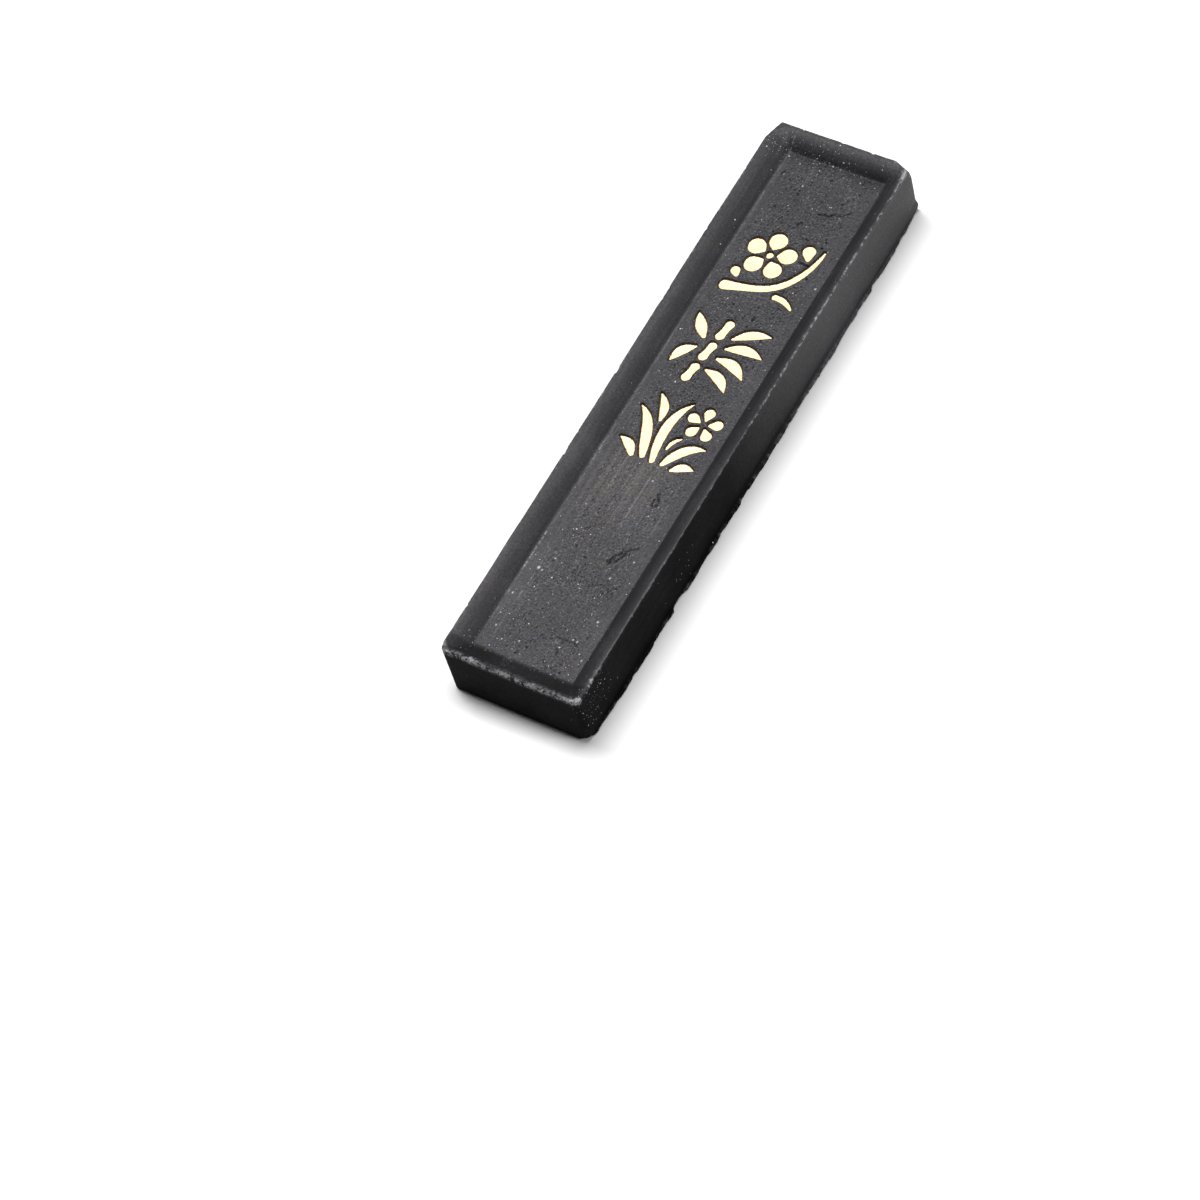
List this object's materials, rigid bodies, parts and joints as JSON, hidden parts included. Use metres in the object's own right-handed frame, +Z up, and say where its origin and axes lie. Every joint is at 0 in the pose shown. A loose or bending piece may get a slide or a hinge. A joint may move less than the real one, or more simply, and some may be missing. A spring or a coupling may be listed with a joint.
{
  "type": "ink stick",
  "caption": "Flat rectangular ink stick of moulded soot and glue, with a framed sunk panel on each face and gilded plum, bamboo and orchid ornaments on the front.",
  "frame": {"origin": "middle of the underside, on the surface that the stick lies on", "axes": "+X across the stick, +Y along it towards the top of the ornaments, +Z up, out of the decorated front face"},
  "size_m": [0.0234, 0.1, 0.0107],
  "materials": {
    "ink": "matte",
    "gilt": "satin"
  },
  "bodies": {
    "root": {"bamboo_culm_lower": "gilt", "bamboo_culm_middle": "gilt", "bamboo_culm_upper": "gilt", "bamboo_leaf_1": "gilt", "bamboo_leaf_2": "gilt", "bamboo_leaf_3": "gilt", "bamboo_leaf_4": "gilt", "bamboo_leaf_5": "gilt", "bamboo_leaf_6": "gilt", "ink_body": "ink", "orchid_blade_1": "gilt", "orchid_blade_2": "gilt", "orchid_blade_3": "gilt", "orchid_blade_4": "gilt", "orchid_blade_5": "gilt", "orchid_blade_6": "gilt", "orchid_petal_1": "gilt", "orchid_petal_2": "gilt", "orchid_petal_3": "gilt", "orchid_petal_4": "gilt", "orchid_petal_5": "gilt", "orchid_stem": "gilt", "plum_bud_lower": "gilt", "plum_bud_upper": "gilt", "plum_centre": "gilt", "plum_petal_1": "gilt", "plum_petal_2": "gilt", "plum_petal_3": "gilt", "plum_petal_4": "gilt", "plum_petal_5": "gilt", "plum_spur": "gilt", "plum_twig": "gilt"}
  },
  "joints": []
}
